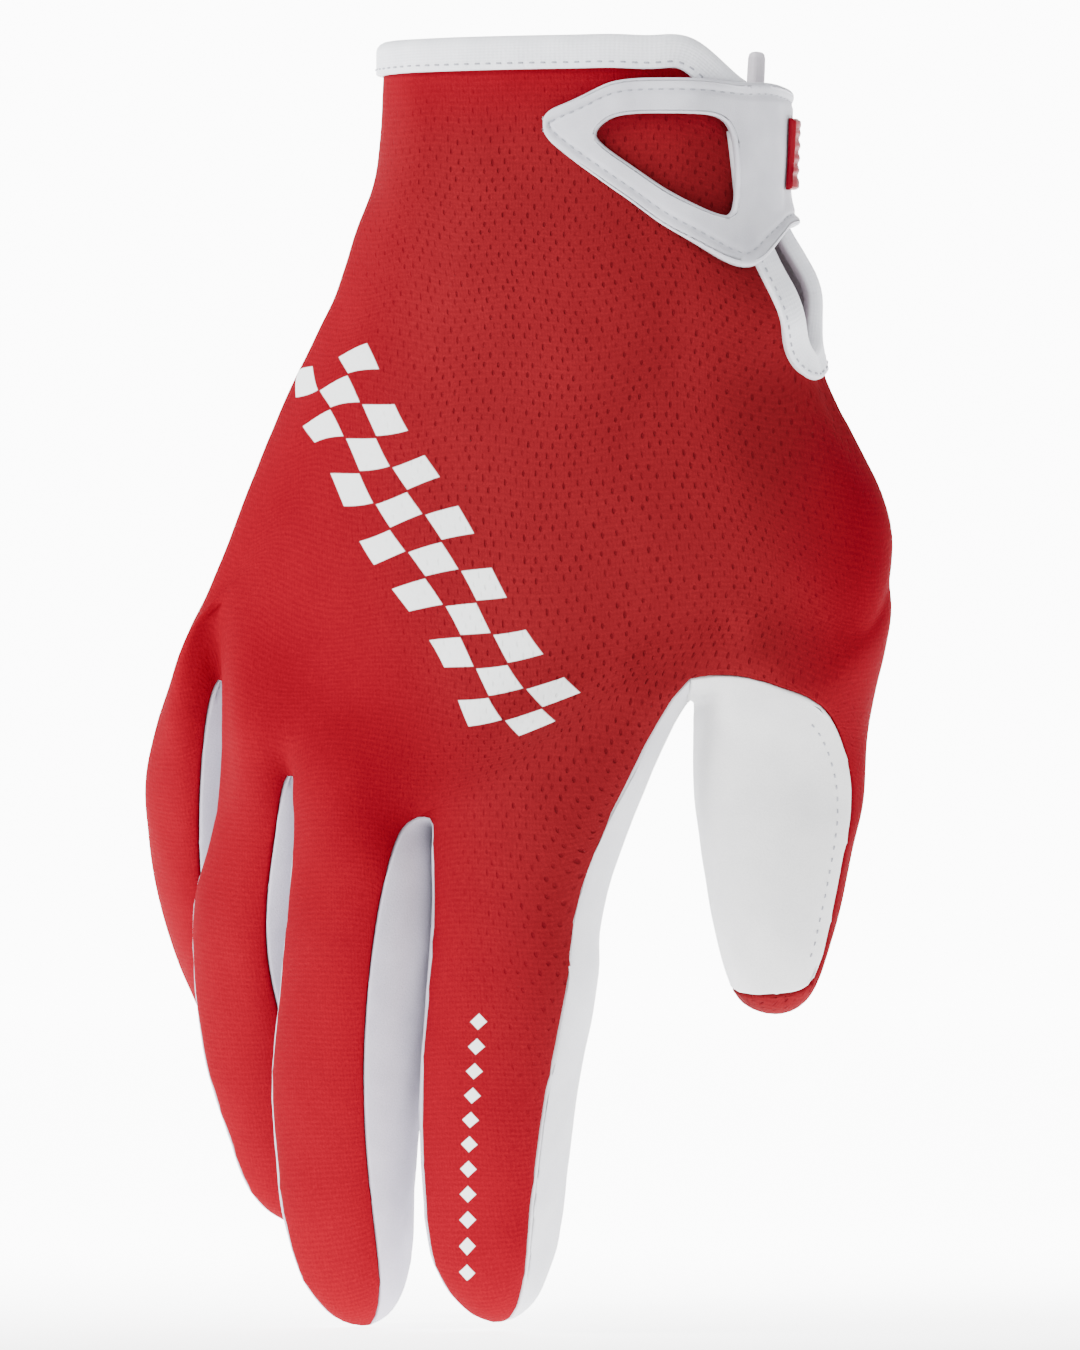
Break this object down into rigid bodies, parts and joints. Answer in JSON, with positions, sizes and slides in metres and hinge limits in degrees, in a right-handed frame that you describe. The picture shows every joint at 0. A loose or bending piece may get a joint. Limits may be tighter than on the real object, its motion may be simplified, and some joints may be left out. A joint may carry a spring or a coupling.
{
  "type": "motocross glove",
  "caption": "Right-hand motocross glove in worn form: red stretch mesh back, white suede palm and finger sides, elastic wrist edge, slit and closure strap with a windowed tab.",
  "frame": {"origin": "centre of the wrist opening, where the glove sits on a wrist", "axes": "+Z out of the wrist opening with the fingers hanging down, -Y out of the back of the hand, +X to the thumb side"},
  "size_m": [0.1508, 0.0781, 0.2351],
  "materials": {
    "red_mesh": "matt stretch knit with small perforations",
    "white_suede": "matt synthetic suede",
    "white_elastic": "matt woven elastic",
    "white_strap": "satin coated strap with a stitched rim",
    "red_rubber": "satin"
  },
  "bodies": {
    "root": {"back_panel": "red_mesh", "palm_panel": "white_suede", "thumb_panel": "white_suede", "index_sidewall": "white_suede", "fourchette_index_middle": "white_suede", "fourchette_middle_ring": "white_suede", "fourchette_ring_little": "white_suede", "cuff_binding": "white_elastic", "slit_binding": "white_elastic", "closure_strap": "white_strap", "strap_badge": "red_rubber"}
  },
  "joints": []
}
